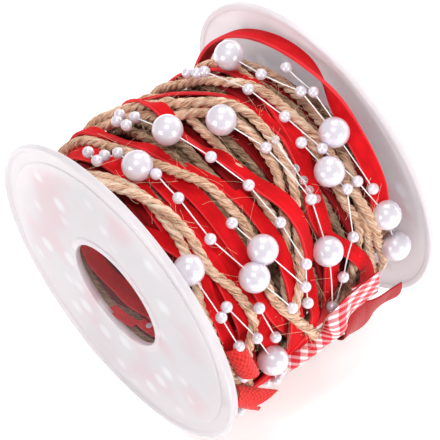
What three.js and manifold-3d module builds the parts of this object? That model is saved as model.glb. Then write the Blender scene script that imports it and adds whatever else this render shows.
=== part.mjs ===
// A roll of mixed Christmas trimming on a clear plastic spool: narrow velvet ribbon, jute twine and
// strings of pearls wound together between two frosted discs, with a few ribbon ends hanging loose.
//
// Millimetres, +Z up. The spool lies on its side: its axis runs along X, and it rests on a small
// flat at the bottom of each disc. The origin is on the surface, under the middle of the roll.
// Places on the roll are given as (x, angle, radius): x along the axis, the angle in degrees from +Y
// through +Z, so 90 is the top and 180 the front, and the radius from the axis.

import * as THREE from 'three'
import { mergeVertices } from 'three/addons/utils/BufferGeometryUtils.js'
import Module from 'manifold-3d'

const wasm = await Module()
wasm.setup()

// Spool
const discRadius = 46
const spoolWidth = 71.7
const discThickness = 1.5
const rimWidth = 2.1
const rimDepth = 1.8
const stepInset = 3.4
const stepHeight = 0.4
const holeRadius = 15.9
const tubeWall = 1.4
const socketWall = 1.2
const socketDepth = 1.2
const collarWidth = 1.8
const flatWidth = 14
const gap = 0.3
const spoolSegments = 60

// Winding
const windingClearance = 0.5
const windingMiddleRadius = 37.6
const windingEndRadius = 36.8
const backDip = { depth: 3.6, angle: 68, spread: 42 }
const frontBulge = { height: 1.7, angle: 190, spread: 26 }
const windingColumns = 44
const windingRows = 108
const velvetWidth = 5
const velvetRise = 2.4
const twineWidth = 3
const twineRise = 3
const pearlRadius = 4
const pearlSeat = 41.4

// Loose ends
const velvetThickness = 1
const ribbonThickness = 1
const ribbonWidth = 10

const halfWidth = spoolWidth / 2
const innerFace = halfWidth - discThickness
const tubeRadius = holeRadius + tubeWall
const socketInside = tubeRadius + gap
const socketOutside = socketInside + socketWall
const axisHeight = Math.sqrt(discRadius ** 2 - (flatWidth / 2) ** 2)

function finish (color, roughness, opacity = 1) {
  return new THREE.MeshStandardMaterial({ color, roughness, metalness: 0, transparent: opacity < 1, opacity })
}

const materials = {
  frosted: finish('#e9e4ea', 0.45, 0.6),
  clear: finish('#f4f2f5', 0.15, 0.35),
  velvet: finish('#d20a14', 0.85),
  gingham: finish('#e0707c', 0.8),
  woven: finish('#dd1a1c', 0.95),
  winding: finish('#b8463a', 0.9)
}

const radians = THREE.MathUtils.degToRad

function place (x, angle, radius) {
  return new THREE.Vector3(x, radius * Math.cos(radians(angle)), radius * Math.sin(radians(angle)))
}

// Keep only the shared positions, and turn the triangles round if they point inwards.
function closed (geometry) {
  geometry.deleteAttribute('normal')
  geometry.deleteAttribute('uv')
  const merged = mergeVertices(geometry, 1e-5)
  const at = merged.attributes.position
  const index = merged.index.array
  const [a, b, c] = [new THREE.Vector3(), new THREE.Vector3(), new THREE.Vector3()]
  let volume = 0
  for (let i = 0; i < index.length; i += 3) {
    a.fromBufferAttribute(at, index[i])
    b.fromBufferAttribute(at, index[i + 1])
    c.fromBufferAttribute(at, index[i + 2])
    volume += a.dot(b.cross(c))
  }
  if (volume < 0) {
    for (let i = 0; i < index.length; i += 3) {
      const first = index[i]
      index[i] = index[i + 1]
      index[i + 1] = first
    }
  }
  return merged
}

function toSolid (geometry) {
  return new wasm.Manifold(new wasm.Mesh({
    numProp: 3,
    vertProperties: geometry.attributes.position.array,
    triVerts: new Uint32Array(geometry.index.array)
  }))
}

function fromSolid (solid) {
  const mesh = solid.getMesh()
  const geometry = new THREE.BufferGeometry()
  geometry.setAttribute('position', new THREE.BufferAttribute(mesh.vertProperties, 3))
  geometry.setIndex(new THREE.BufferAttribute(mesh.triVerts, 1))
  return geometry
}

// A ring turned about the spool's axis from a closed outline of [radius, x] pairs.
function turned (outline) {
  const points = outline.map(([radius, x]) => new THREE.Vector2(radius, x))
  points.push(points[0].clone())
  const geometry = new THREE.LatheGeometry(points, spoolSegments)
  geometry.rotateZ(-Math.PI / 2)
  return closed(geometry)
}

// The discs and the tube

// One disc, its outline given from the outside inwards: distances are measured in from the outer face.
function disc (side) {
  const outline = [
    [holeRadius, 0],
    [holeRadius + collarWidth, 0],
    [holeRadius + collarWidth + stepHeight, stepHeight],
    [discRadius - rimDepth - stepInset, stepHeight],
    [discRadius - rimDepth - stepInset + stepHeight, 2 * stepHeight],
    [discRadius - rimDepth, 2 * stepHeight],
    [discRadius - rimDepth * 0.6, 0],
    [discRadius - rimDepth * 0.2, 0],
    [discRadius, rimDepth * 0.3],
    [discRadius, rimWidth],
    [discRadius - rimDepth, rimWidth],
    [discRadius - rimDepth, discThickness + stepHeight],
    [discRadius - rimDepth - stepInset, discThickness],
    [socketOutside, discThickness],
    [socketOutside, discThickness + socketDepth],
    [socketInside, discThickness + socketDepth],
    [socketInside, discThickness],
    [holeRadius, discThickness]
  ]
  const ring = turned(outline.map(([radius, depth]) => [radius, side * (halfWidth - depth)]))
  ring.translate(0, 0, axisHeight)
  const below = new THREE.BoxGeometry(spoolWidth * 2, discRadius * 2, discRadius)
  below.translate(0, 0, -discRadius / 2)
  return fromSolid(toSolid(ring).subtract(toSolid(closed(below))))
}

function tube () {
  const end = innerFace - gap
  const wall = turned([
    [holeRadius, -end],
    [tubeRadius, -end],
    [tubeRadius, end],
    [holeRadius, end]
  ])
  wall.translate(0, 0, axisHeight)
  return wall
}

// The wound garland

// Where the top turns run: each row is a place along the strand, as its angle in that turn and its x.
// The strands run on round the hidden side from the last row of one turn to the first of the next.
const velvetTurns = [
  [[30, -32.5], [105, -31.5], [126, -26.5], [150, -27.2], [190, -28.5], [260, -30.5]],
  [[20, -31], [72, -30.9], [85, -28.1], [107, -23.3], [135, -21.8], [165, -22.6], [230, -20]],
  [[10, -16.5], [74, -13.4], [91, -12.3], [122, -5.4], [150, -5.3], [166, -8.5], [240, -13]],
  [[0, -10], [57, -3.6], [88, -3.9], [116, -0.6], [142, 2.4], [151, 1.3], [170, -3], [250, -8]],
  [[0, -4], [50, 1], [68, 8], [87, 13.2], [109, 13.4], [128, 12.1], [160, 7], [250, 2]],
  [[20, 14], [70, 20], [105, 17.5], [124, 14.1], [144, 7.9], [153, 8.4], [168, 14], [260, 21]]
]
const twineTurns = [
  [[20, -30], [86, -31.2], [99, -27.4], [118, -20.4], [143, -22.3], [166, -19.9], [240, -25]],
  [[20, -29], [70, -30.5], [109, -24.5], [134, -27.2], [165, -30.5], [194, -27.3], [270, -26]],
  [[20, -25], [61, -19.1], [90, -16.2], [112, -11.4], [135, -7.6], [160, -12.5], [188, -6], [260, -10]],
  [[10, -14], [70, 0], [89, 8.3], [118, 8.7], [147, 0.3], [165, -3], [240, 4]],
  [[0, 6], [68, 12.9], [88, 17.9], [118, 20.3], [153, 20.5], [185, 24], [270, 27]]
]

// The large pearls that stand up from the roll, as [angle, x]: those on its front and top were placed
// by eye, and those on its far side follow the rhythm of their strings. Two more lie against the loose
// turn and are left to the dressed model.
const frontPearls = [
  [89, -22.1], [84, -9.1], [94, 2.6], [71, 19.6], [130, -29.9], [146, -16.2], [140, -10.5],
  [132, 16.1], [156, 5.5], [183, -18.8], [175, 25.8]
]
const farStrings = 7
const farPearls = []
for (let s = 0; s < farStrings; s++) {
  for (const n of [2 + s % 3, 8 + s % 3]) {
    const x = -28 + 9.2 * s + 2.6 * Math.sin(1.3 * n + 2.1 * s)
    farPearls.push([208 + 17 * n + 3 * Math.sin(2.3 * n + s), THREE.MathUtils.clamp(x, -30, 30)])
  }
}
const pearls = [...frontPearls, ...farPearls]

// The strand's x as a smooth function of the angle, which counts on from turn to turn.
function strand (turns, width, rise) {
  const rows = turns.flatMap((turn, k) => turn.map(([angle, x]) => [angle + 360 * k, x]))
  const first = rows[0][0]
  const last = rows[rows.length - 1][0]
  const slope = (k) => {
    const before = rows[Math.max(k - 1, 0)]
    const after = rows[Math.min(k + 1, rows.length - 1)]
    return (after[1] - before[1]) / (after[0] - before[0])
  }
  function xAt (angle) {
    let k = 1
    while (rows[k][0] < angle) k++
    const [a0, x0] = rows[k - 1]
    const [a1, x1] = rows[k]
    const span = a1 - a0
    const t = (angle - a0) / span
    const start = (1 + 2 * t) * (1 - t) ** 2 * x0 + t * (1 - t) ** 2 * span * slope(k - 1)
    return start + t ** 2 * (3 - 2 * t) * x1 + t ** 2 * (t - 1) * span * slope(k)
  }
  return { turnCount: turns.length, first, last, xAt, width, rise }
}

const strands = [
  strand(velvetTurns, velvetWidth, velvetRise),
  strand(twineTurns, twineWidth, twineRise)
]

// Height of the turns that pass over this place: flat-topped for ribbon, fading in at a strand's ends.
function riseAt (x, angle) {
  let rise = 0
  for (const s of strands) {
    for (let turn = 0; turn <= s.turnCount; turn++) {
      const along = angle + 360 * turn
      if (along <= s.first || along >= s.last) continue
      const off = Math.abs(x - s.xAt(along)) / (s.width / 2)
      rise = Math.max(rise, s.rise * (1 - THREE.MathUtils.smoothstep(off, 0.6, 1.5)))
    }
  }
  return rise
}

// A smooth hump around the roll that is highest at its own angle.
function hump (angle, { angle: centre, spread }) {
  const away = THREE.MathUtils.euclideanModulo(angle - centre + 180, 360) - 180
  return Math.exp(-((away / spread) ** 2))
}

// The roll under its top turns: fuller in the middle and low on the front where the ends gather,
// hollow at the top by the back disc, and never quite round.
function bodyRadius (x, angle) {
  const t = x / innerFace
  const crown = THREE.MathUtils.lerp(windingMiddleRadius, windingEndRadius, t ** 2)
  const dip = t > 0 ? backDip.depth * t ** 2 * hump(angle, backDip) : 0
  const bulge = frontBulge.height * hump(angle, frontBulge)
  const lump = 0.4 * Math.sin(radians(3 * angle + 8 * x)) + 0.3 * Math.sin(radians(5 * angle - 13 * x))
  return crown - dip + bulge + lump
}

// The radius that a pearl reaches at this place, or 0 beside it.
function pearlReach (x, angle, [pearlAngle, pearlX]) {
  const away = THREE.MathUtils.euclideanModulo(angle - pearlAngle + 180, 360) - 180
  const inside = pearlRadius ** 2 - (x - pearlX) ** 2 - (radians(away) * pearlSeat) ** 2
  return inside > 0 ? pearlSeat + Math.sqrt(inside) : 0
}

function windingRadius (x, angle) {
  const reaches = pearls.map((pearl) => pearlReach(x, angle, pearl))
  return Math.max(bodyRadius(x, angle) + riseAt(x, angle), ...reaches)
}

function winding () {
  const end = innerFace - windingClearance
  const socketEnd = innerFace - socketDepth - windingClearance
  const narrow = tubeRadius + gap
  const wide = socketOutside + gap
  const half = [[end, wide], [socketEnd, wide], [socketEnd, narrow]]
  const inner = [...half, ...half.toReversed().map(([x, radius]) => [-x, radius])]
  const loop = windingColumns + 1 + inner.length
  const positions = []
  for (let j = 0; j < windingRows; j++) {
    const angle = 360 * j / windingRows
    for (let i = 0; i <= windingColumns; i++) {
      const x = THREE.MathUtils.lerp(-end, end, i / windingColumns)
      positions.push(...place(x, angle, windingRadius(x, angle)).toArray())
    }
    for (const [x, radius] of inner) positions.push(...place(x, angle, radius).toArray())
  }
  const index = []
  for (let j = 0; j < windingRows; j++) {
    const next = (j + 1) % windingRows
    for (let i = 0; i < loop; i++) {
      const k = (i + 1) % loop
      const [a, b, c, d] = [j * loop + i, j * loop + k, next * loop + k, next * loop + i]
      index.push(a, b, c, a, c, d)
    }
  }
  const geometry = new THREE.BufferGeometry()
  geometry.setAttribute('position', new THREE.Float32BufferAttribute(positions, 3))
  geometry.setIndex(index)
  geometry.translate(0, 0, axisHeight)
  return closed(geometry)
}

// Loose ends

// A closed sheet of even thickness about a grid of points on its middle surface.
function sheetSolid (grid, thickness) {
  const rows = grid.length
  const columns = grid[0].length
  const half = thickness / 2
  const positions = []
  for (const side of [1, -1]) {
    for (let i = 0; i < rows; i++) {
      for (let j = 0; j < columns; j++) {
        const along = grid[Math.min(i + 1, rows - 1)][j].clone().sub(grid[Math.max(i - 1, 0)][j])
        const across = grid[i][Math.min(j + 1, columns - 1)].clone().sub(grid[i][Math.max(j - 1, 0)])
        const normal = along.cross(across).normalize()
        positions.push(...grid[i][j].clone().addScaledVector(normal, side * half).toArray())
      }
    }
  }
  const index = []
  const quad = (a, b, c, d) => index.push(a, b, c, a, c, d)
  const other = rows * columns
  for (let i = 0; i < rows - 1; i++) {
    for (let j = 0; j < columns - 1; j++) {
      const a = i * columns + j
      const b = a + columns
      quad(a, b, b + 1, a + 1)
      quad(a + other, a + 1 + other, b + 1 + other, b + other)
    }
  }
  for (let i = 0; i < rows - 1; i++) {
    const left = i * columns
    const right = left + columns - 1
    quad(left, left + other, left + columns + other, left + columns)
    quad(right, right + columns, right + columns + other, right + other)
  }
  for (let j = 0; j < columns - 1; j++) {
    const start = j
    const end = (rows - 1) * columns + j
    quad(start, start + 1, start + 1 + other, start + other)
    quad(end, end + other, end + 1 + other, end + 1)
  }
  const geometry = new THREE.BufferGeometry()
  geometry.setAttribute('position', new THREE.Float32BufferAttribute(positions, 3))
  geometry.setIndex(index)
  geometry.translate(0, 0, axisHeight)
  return closed(geometry)
}

// A length of ribbon along the roll. Each station has its x, angle and radius, how far the ribbon is
// rolled about its own run from lying flat on the roll, its width, and how far its middle is crowned.
// tips gives how far the last row reaches on past the end at each column, for a cut end.
function ribbon (stations, { steps, columns = 4, thickness = ribbonThickness, tips = [] }) {
  const places = stations.map((s) => new THREE.Vector3(s.x, s.angle, s.radius))
  const forms = stations.map((s) => new THREE.Vector3(s.roll, s.width, s.crown ?? 0))
  const path = new THREE.CatmullRomCurve3(places)
  const shape = new THREE.CatmullRomCurve3(forms)
  const at = (t) => {
    const p = path.getPoint(THREE.MathUtils.clamp(t, 0, 1))
    return place(p.x, p.y, p.z)
  }
  const grid = []
  for (let i = 0; i <= steps; i++) {
    const t = i / steps
    const middle = at(t)
    const run = at(t + 0.01).sub(at(t - 0.01)).normalize()
    const out = new THREE.Vector3(0, middle.y, middle.z).normalize()
    const across = new THREE.Vector3().crossVectors(run, out).normalize()
    out.crossVectors(across, run)
    const { x: roll, y: width, z: crown } = shape.getPoint(t)
    const turn = radians(roll)
    const wide = across.clone().multiplyScalar(Math.cos(turn)).addScaledVector(out, Math.sin(turn))
    const up = out.clone().multiplyScalar(Math.cos(turn)).addScaledVector(across, -Math.sin(turn))
    const row = []
    for (let j = 0; j <= columns; j++) {
      const side = 2 * j / columns - 1
      const reach = i === steps ? tips[j] ?? 0 : 0
      row.push(middle.clone()
        .addScaledVector(wide, side * width / 2)
        .addScaledVector(up, crown * (1 - side ** 2))
        .addScaledVector(run, reach))
    }
    grid.push(row)
  }
  return sheetSolid(grid, thickness)
}

// The turn of velvet that stands off the roll by the back disc and is twisted half round on the way.
const loopStations = [
  { x: 27, angle: 2, radius: 38.3, roll: 2, width: velvetWidth },
  { x: 28, angle: 22, radius: 38.2, roll: 6, width: velvetWidth },
  { x: 29.6, angle: 44, radius: 39, roll: 10, width: velvetWidth },
  { x: 30.6, angle: 64, radius: 39.6, roll: 12, width: velvetWidth },
  { x: 31, angle: 82, radius: 40.6, roll: 15, width: velvetWidth },
  { x: 30.8, angle: 94, radius: 41.4, roll: 28, width: velvetWidth },
  { x: 30, angle: 104, radius: 41.6, roll: 62, width: velvetWidth },
  { x: 28.8, angle: 114, radius: 41.4, roll: 108, width: velvetWidth },
  { x: 27.6, angle: 125, radius: 41.2, roll: 142, width: velvetWidth },
  { x: 27, angle: 136, radius: 41, roll: 158, width: velvetWidth },
  { x: 26.2, angle: 148, radius: 40.6, roll: 166, width: velvetWidth }
]

// The check ribbon: flat along the roll, then folded over and drawn together to the left.
const ginghamStations = [
  { x: 18.8, angle: 182.6, radius: 43.4, roll: 2, width: ribbonWidth },
  { x: 13, angle: 182.6, radius: 43.4, roll: 2, width: ribbonWidth },
  { x: 7, angle: 183, radius: 43.5, roll: 0, width: ribbonWidth },
  { x: 2, angle: 184, radius: 43.7, roll: -10, width: ribbonWidth * 0.8, crown: 0.6 },
  { x: -1.5, angle: 185, radius: 44, roll: -24, width: ribbonWidth * 0.5, crown: 1.2 },
  { x: -5, angle: 186.5, radius: 44, roll: -30, width: ribbonWidth * 0.38, crown: 1.4 },
  { x: -9.5, angle: 188, radius: 43.8, roll: -28, width: ribbonWidth * 0.34, crown: 1.3 },
  { x: -14, angle: 189.5, radius: 43.2, roll: -20, width: ribbonWidth * 0.32, crown: 1.1 }
]

// The plain red ribbon below it, whose free edge waves.
const tailStations = [
  { x: 24.4, angle: 195.6, radius: 45, roll: 4, width: ribbonWidth * 0.8 },
  { x: 20.4, angle: 195, radius: 44.9, roll: 4, width: ribbonWidth * 0.85 },
  { x: 16.2, angle: 195, radius: 44.7, roll: 0, width: ribbonWidth * 0.85 },
  { x: 12.4, angle: 195.4, radius: 44.6, roll: -16, width: ribbonWidth * 0.85 },
  { x: 8.6, angle: 194.6, radius: 44.4, roll: -16, width: ribbonWidth * 0.75 },
  { x: 5.2, angle: 193, radius: 44.1, roll: -12, width: ribbonWidth * 0.5 },
  { x: 2.6, angle: 192, radius: 43.9, roll: -8, width: ribbonWidth * 0.3 }
]

// The two coarse woven ends by the front disc, one cut to a point and one to a swallowtail.
const upperStations = [
  { x: -30.6, angle: 162, radius: 42.9, roll: 0, width: ribbonWidth * 0.6 },
  { x: -28.6, angle: 170, radius: 43.1, roll: 0, width: ribbonWidth * 0.75 },
  { x: -26, angle: 177, radius: 43.4, roll: -4, width: ribbonWidth * 0.6 },
  { x: -23.4, angle: 185, radius: 43.9, roll: -10, width: ribbonWidth * 0.35 }
]
const upperTips = [-1.5, 0, 1, 2.5, 3.5]

const lowerStations = [
  { x: -31.6, angle: 193, radius: 43, roll: 8, width: ribbonWidth * 0.8 },
  { x: -28.5, angle: 195, radius: 43.5, roll: 12, width: ribbonWidth, crown: 0.3 },
  { x: -25.5, angle: 197, radius: 44.1, roll: 16, width: ribbonWidth, crown: 0.4 },
  { x: -23, angle: 199, radius: 44.7, roll: 20, width: ribbonWidth * 0.85, crown: 0.3 }
]
const lowerTips = [4, 0.8, -2.4, -0.6, 1.6]

function named (name, geometry, material) {
  const mesh = new THREE.Mesh(geometry, material)
  mesh.name = name
  return mesh
}

const loop = ribbon(loopStations, { steps: 40, columns: 2, thickness: velvetThickness })
const gingham = ribbon(ginghamStations, { steps: 20 })
const tail = ribbon(tailStations, { steps: 18 })
const upperEnd = ribbon(upperStations, { steps: 8, tips: upperTips })
const lowerEnd = ribbon(lowerStations, { steps: 8, tips: lowerTips })

const spool = new THREE.Group()
spool.add(named('flange_front', disc(-1), materials.frosted))
spool.add(named('flange_back', disc(1), materials.frosted))
spool.add(named('core_tube', tube(), materials.clear))

const wound = new THREE.Group()
wound.add(named('winding', winding(), materials.winding))
wound.add(named('loose_loop', loop, materials.velvet))
wound.add(named('gingham_ribbon', gingham, materials.gingham))
wound.add(named('red_tail', tail, materials.velvet))
wound.add(named('woven_end_upper', upperEnd, materials.woven))
wound.add(named('woven_end_lower', lowerEnd, materials.woven))

const roll = new THREE.Group()
roll.name = 'ribbon_roll'
roll.add(spool, wound)

export default roll
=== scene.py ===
# %% [markdown]
# A roll of Christmas trimmings
#
# This lesson dresses a spool of mixed trimmings: red velvet ribbon, jute twine and strung
# pearls, wound together between two frosted discs, with a few ribbon ends hanging loose.
# The solids that give the spool its size are loaded first, as a frame. Everything else is
# wound round them, strand by strand, in the order in which a machine would lay it.

# %% Load the frame
import math
import random

import bpy
import numpy as np
from mathutils import Matrix, Vector


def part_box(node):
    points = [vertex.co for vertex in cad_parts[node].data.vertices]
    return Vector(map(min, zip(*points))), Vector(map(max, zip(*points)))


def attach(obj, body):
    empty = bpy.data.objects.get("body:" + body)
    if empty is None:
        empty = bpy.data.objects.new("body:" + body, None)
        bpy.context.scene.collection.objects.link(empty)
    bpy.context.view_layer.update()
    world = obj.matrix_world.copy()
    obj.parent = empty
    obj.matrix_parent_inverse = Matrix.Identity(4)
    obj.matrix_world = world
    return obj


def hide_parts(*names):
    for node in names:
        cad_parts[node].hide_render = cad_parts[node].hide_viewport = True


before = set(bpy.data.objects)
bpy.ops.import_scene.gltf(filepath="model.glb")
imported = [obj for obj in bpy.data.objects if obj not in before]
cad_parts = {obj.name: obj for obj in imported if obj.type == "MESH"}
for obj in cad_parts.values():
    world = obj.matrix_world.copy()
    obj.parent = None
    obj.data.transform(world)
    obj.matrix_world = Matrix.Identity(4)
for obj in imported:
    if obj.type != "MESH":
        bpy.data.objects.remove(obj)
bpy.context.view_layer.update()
print("solids in the frame:", len(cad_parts))

# %% [markdown]
# Measures
#
# Lengths are written in millimetres, as on the packet of a trimming, and are turned into
# Blender's metres only when a mesh is made. The spool lies along X. A place on the roll is
# easiest to say as three numbers: x along the axle, the angle round it and the radius from
# it. The angle starts at +Y, so 90 is the top of the roll and 180 is its front.

# %% Sizes of the spool and the trimmings
MM = 0.001
disc_low, disc_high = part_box("flange_front")
disc_radius = (disc_high[1] - disc_low[1]) / 2 / MM
axle_height = disc_high[2] / MM - disc_radius
half_width = -disc_low[0] / MM

hole_radius = 15.9
tube_wall = 1.4
disc_thickness = 1.5
winding_reach = 33.85

velvet_width = 5.0
wound_width = 4.15
velvet_thickness = 0.9
twine_width = 2.75
ribbon_width = 10.0
ribbon_thickness = 0.45
large_pearl = 8.0
small_pearl = 3.05
clear_bead = 2.3
line_width = 0.34
fibre_width = 0.07
fuzz_width = 0.055

print("disc radius, axle height, half width:", disc_radius, axle_height, half_width)


# %% Places on the roll
def on_roll(x, angle, radius):
    """Points on the roll, in millimetres, from arrays or numbers that fit together."""
    x, angle, radius = np.broadcast_arrays(x, np.radians(angle), radius)
    return np.stack([x, radius * np.cos(angle), axle_height + radius * np.sin(angle)], axis=-1)


# %% [markdown]
# The camera
#
# The picture looks down on the roll at about 52 degrees, from the front left, through a long
# lens, with the camera tipped a little. The view direction comes from those angles. The
# camera is made first, so that every later cell can be checked in the right view.

# %% Set the camera
camera_place = (-217.2, -296.3, 519.2)
camera_heading = 36.34
camera_drop = 52.23
camera_tip = -6.5
camera_lens = 184.5

heading, drop, tip = (math.radians(a) for a in (camera_heading, camera_drop, camera_tip))
view_forward = Vector((
    math.sin(heading) * math.cos(drop),
    math.cos(heading) * math.cos(drop),
    -math.sin(drop),
))
level_right = view_forward.cross(Vector((0, 0, 1))).normalized()
level_up = level_right.cross(view_forward)
view_right = level_right * math.cos(tip) + level_up * math.sin(tip)
view_up = level_up * math.cos(tip) - level_right * math.sin(tip)

bpy.ops.object.camera_add()
camera = bpy.context.object
camera.name = "camera"
camera.data.lens = camera_lens
camera.data.sensor_width = 36
camera.data.clip_end = 10
camera.matrix_world = Matrix((view_right, view_up, -view_forward)).transposed().to_4x4()
camera.location = Vector(camera_place) * MM
bpy.context.scene.camera = camera
print("camera at", tuple(camera.location))

# %% [markdown]
# Light and floor
#
# Each pearl shows three reflections: a small one near its top and two broad ones lower down,
# left and right. So three lamps are hung where those reflections point, given here along
# the camera's own right, up and back directions. A fourth, soft lamp lights the top turns
# from above, and a fifth stands behind the back disc, which glows because its light comes
# through. A white sky fills the shadows. The floor is a plain pale sheet.

# %% Hang the lamps
roll_centre = Vector((0, 0, axle_height)) * MM


def hang_lamp(name, right, up, back, distance, size, power):
    """An area lamp in a direction given along the camera's axes, aimed at the roll."""
    towards = (view_right * right + view_up * up - view_forward * back).normalized()
    bpy.ops.object.light_add(type="AREA", location=roll_centre + towards * distance)
    lamp = bpy.context.object
    lamp.name = name
    lamp.data.shape = "RECTANGLE"
    lamp.data.size, lamp.data.size_y = size
    lamp.data.energy = power
    lamp.rotation_euler = towards.to_track_quat("Z", "Y").to_euler()
    print(name, "hung at", tuple(round(value, 3) for value in lamp.location))


hang_lamp("lamp_top", -0.10, 0.32, 0.94, 0.95, (0.15, 0.15), 2.9)
hang_lamp("lamp_left", -0.73, -0.34, 0.55, 0.8, (0.28, 0.28), 2.2)
hang_lamp("lamp_right", 0.67, -0.36, 0.58, 0.8, (0.28, 0.28), 2.2)
hang_lamp("lamp_above", 0.05, 0.90, 0.30, 0.9, (0.5, 0.5), 3.6)
hang_lamp("lamp_behind", 0.75, 0.56, -0.36, 0.7, (0.5, 0.5), 6.5)

world = bpy.data.worlds.new("white_sky")
world.use_nodes = True
world.node_tree.nodes["Background"].inputs["Color"].default_value = (1.0, 0.99, 1.0, 1)
world.node_tree.nodes["Background"].inputs["Strength"].default_value = 0.42
bpy.context.scene.world = world
bpy.context.scene.view_settings.view_transform = "Standard"

# %% [markdown]
# Materials
#
# Every material is a small tree of nodes. Cloth and twine follow the UV map of their strand,
# whose unit is a millimetre, so a thread count can be written as it is measured. Plastic
# follows the place on the piece.


# %% Helpers for materials
def new_material(name):
    """A material with its nodes, its links and its shader."""
    material = bpy.data.materials.new(name)
    material.use_nodes = True
    tree = material.node_tree
    return material, tree.nodes, tree.links, tree.nodes["Principled BSDF"]


def add_node(nodes, kind, settings=(), inputs=()):
    """A node with its settings and the values of its sockets."""
    node = nodes.new(kind)
    for key, value in dict(settings).items():
        setattr(node, key, value)
    for key, value in dict(inputs).items():
        node.inputs[key].default_value = value
    return node


def set_finish(shader, **values):
    """Values that are the same all over a surface, on the shader's own sockets."""
    for key, value in values.items():
        shader.inputs[key.replace("_", " ").title().replace("Ior", "IOR")].default_value = value


def ramp_between(nodes, stops):
    """A colour ramp with the given (place, colour) stops."""
    ramp = nodes.new("ShaderNodeValToRGB")
    elements = ramp.color_ramp.elements
    while len(elements) < len(stops):
        elements.new(0.5)
    for element, (place, colour) in zip(elements, stops):
        element.position = place
        element.color = (*colour, 1)
    return ramp


def mapped(nodes, links, source, scale, turn=0.0, shift=(0, 0, 0)):
    """Coordinates from a source (UV or Object), scaled, turned and shifted."""
    place = nodes.new("ShaderNodeTexCoord")
    mapping = add_node(nodes, "ShaderNodeMapping", inputs={"Scale": scale})
    mapping.inputs["Rotation"].default_value = (0, 0, math.radians(turn))
    mapping.inputs["Location"].default_value = shift
    links.new(place.outputs[source], mapping.inputs["Vector"])
    return mapping.outputs["Vector"]


def add_bump(nodes, links, shader, height, strength, distance):
    """Relief from a height, with its depth in millimetres."""
    bump = add_node(nodes, "ShaderNodeBump", inputs={"Strength": strength, "Distance": distance * MM})
    links.new(height, bump.inputs["Height"])
    links.new(bump.outputs["Normal"], shader.inputs["Normal"])


# %% [markdown]
# Velvet has a short pile that stands up from the ribbon. It drinks the light that falls
# straight on it and glows at grazing angles, so it gets sheen, a fine grain for the pile
# and slow patches where the pile was brushed. Its two edges are lighter and paler: partly
# the woven edge, partly a painted highlight where the edges catch the light.


# %% Red velvet
def make_velvet(name, dark, light, edge, sheen):
    """Red velvet, with the two ends of its colour range and the colour of its edges, which is partly the
    woven edge and partly a painted highlight.
    """
    material, nodes, links, shader = new_material(name)
    pile = add_node(nodes, "ShaderNodeTexNoise", inputs={"Scale": 1.0, "Detail": 4.0, "Roughness": 0.6})
    links.new(mapped(nodes, links, "UV", (5.0, 2.6, 1.0)), pile.inputs["Vector"])
    brushed = add_node(nodes, "ShaderNodeTexNoise", inputs={"Scale": 1.0, "Detail": 3.0})
    links.new(mapped(nodes, links, "UV", (0.45, 0.14, 1.0)), brushed.inputs["Vector"])
    both = add_node(nodes, "ShaderNodeMath", {"operation": "MULTIPLY_ADD"}, {1: 0.4})
    links.new(pile.outputs["Fac"], both.inputs[0])
    links.new(brushed.outputs["Fac"], both.inputs[2])
    ramp = ramp_between(nodes, [(0.45, dark), (0.95, light)])
    links.new(both.outputs[0], ramp.inputs["Fac"])

    # The edges are lighter and paler: partly the woven edge, partly a painted highlight where the edges catch
    # the light.
    across = nodes.new("ShaderNodeSeparateXYZ")
    links.new(mapped(nodes, links, "UV", (1, 1, 1)), across.inputs[0])
    from_middle = add_node(nodes, "ShaderNodeMath", {"operation": "SUBTRACT"}, {1: velvet_width / 2})
    links.new(across.outputs["X"], from_middle.inputs[0])
    distance = add_node(nodes, "ShaderNodeMath", {"operation": "ABSOLUTE"})
    links.new(from_middle.outputs[0], distance.inputs[0])
    edge_and_highlight_share = add_node(nodes, "ShaderNodeMapRange", {"interpolation_type": "SMOOTHSTEP"}, {
        "From Min": velvet_width / 2 - 0.55, "From Max": velvet_width / 2 - 0.1, "To Max": 0.75})
    links.new(distance.outputs[0], edge_and_highlight_share.inputs["Value"])
    colour = add_node(nodes, "ShaderNodeMix", {"data_type": "RGBA"})
    colour.inputs[7].default_value = (*edge, 1)
    links.new(edge_and_highlight_share.outputs["Result"], colour.inputs[0])
    links.new(ramp.outputs["Color"], colour.inputs[6])
    links.new(colour.outputs[2], shader.inputs["Base Color"])

    set_finish(shader, roughness=0.85, specular_ior_level=0.2, sheen_weight=sheen, sheen_roughness=0.4)
    shader.inputs["Sheen Tint"].default_value = (1.0, 0.12, 0.12, 1)
    add_bump(nodes, links, shader, pile.outputs["Fac"], 0.5, 0.12)
    return material


velvet = make_velvet("red_velvet", (0.50, 0.001, 0.004), (0.80, 0.004, 0.010), (0.88, 0.05, 0.06), 0.15)
# A darker copy for the turns of the bed: painted shade, for turns that lie in the shade of those above.
painted_shade_velvet = make_velvet("shaded_velvet", (0.13, 0.001, 0.002), (0.34, 0.002, 0.005),
                          (0.30, 0.01, 0.015), 0.04)
print("velvet made:", velvet.name, painted_shade_velvet.name)


# %% [markdown]
# Jute is a bundle of coarse plant fibres. Seen close it is a set of streaks that run along
# the ply, from pale straw to brown, with a few dark ones. One stretched noise gives the
# colour of the streaks and their relief.


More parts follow.
